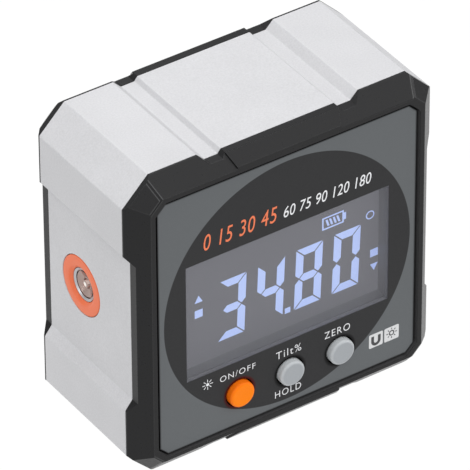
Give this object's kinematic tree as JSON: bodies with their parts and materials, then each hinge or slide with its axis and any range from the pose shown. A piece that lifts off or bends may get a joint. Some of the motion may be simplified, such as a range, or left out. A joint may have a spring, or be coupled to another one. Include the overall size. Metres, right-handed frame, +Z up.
{
  "type": "digital angle gauge",
  "caption": "Square magnetic angle gauge with a grooved aluminium frame, black sloped covers, a display window in a grey face panel and round push buttons below it.",
  "frame": {"origin": "middle of the bottom, on the plane of the lower measuring pads", "axes": "the face looks along -Y, +Z is up, +X is to the right of someone who reads the display"},
  "size_m": [0.06, 0.0318, 0.06],
  "materials": {
    "anodised_aluminium": "bead blasted and clear anodised",
    "black_plastic": "fine grain",
    "grey_overlay": "satin, screen printed",
    "clear_lens": "polished, slightly smoked",
    "grey_plastic": "satin",
    "lcd_cell": "grey polariser",
    "light_guide": "frosted",
    "pink_elastomer": "matt",
    "green_board": "solder mask",
    "black_epoxy": "moulded",
    "orange_plastic": "smooth",
    "grey_cap_plastic": "smooth",
    "orange_collar": "smooth",
    "nickel_plate": "turned and plated",
    "plated_steel": "zinc plated",
    "cell_jacket": "printed sleeve"
  },
  "bodies": {
    "housing": {"body_frame": "anodised_aluminium", "front_bezel": "black_plastic", "rear_cover": "black_plastic", "face_panel": "grey_overlay", "display_window": "clear_lens", "lcd_frame": "grey_plastic", "lcd_glass": "lcd_cell", "backlight": "light_guide", "zebra_strip": "pink_elastomer", "main_board": "green_board", "controller_chip": "black_epoxy", "tilt_sensor": "black_epoxy", "switch_bodies": "black_epoxy", "board_screws": "plated_steel", "magnet_collars": "orange_collar", "side_magnets": "nickel_plate", "battery_cells": "cell_jacket", "contact_springs": "plated_steel", "contact_plates": "plated_steel", "battery_door": "black_plastic", "door_screw": "plated_steel", "case_screws": "plated_steel"},
    "power_cap": {"power_button": "orange_plastic"},
    "hold_cap": {"hold_button": "grey_cap_plastic"},
    "zero_cap": {"zero_button": "grey_cap_plastic"}
  },
  "joints": [
    {"name": "power_press", "type": "slide", "parent": "housing", "child": "power_cap", "axis": [0, 1, 0], "range_m": [0, 0.0005], "stiffness_N_per_m": 400},
    {"name": "hold_press", "type": "slide", "parent": "housing", "child": "hold_cap", "axis": [0, 1, 0], "range_m": [0, 0.0005], "stiffness_N_per_m": 400},
    {"name": "zero_press", "type": "slide", "parent": "housing", "child": "zero_cap", "axis": [0, 1, 0], "range_m": [0, 0.0005], "stiffness_N_per_m": 400}
  ]
}
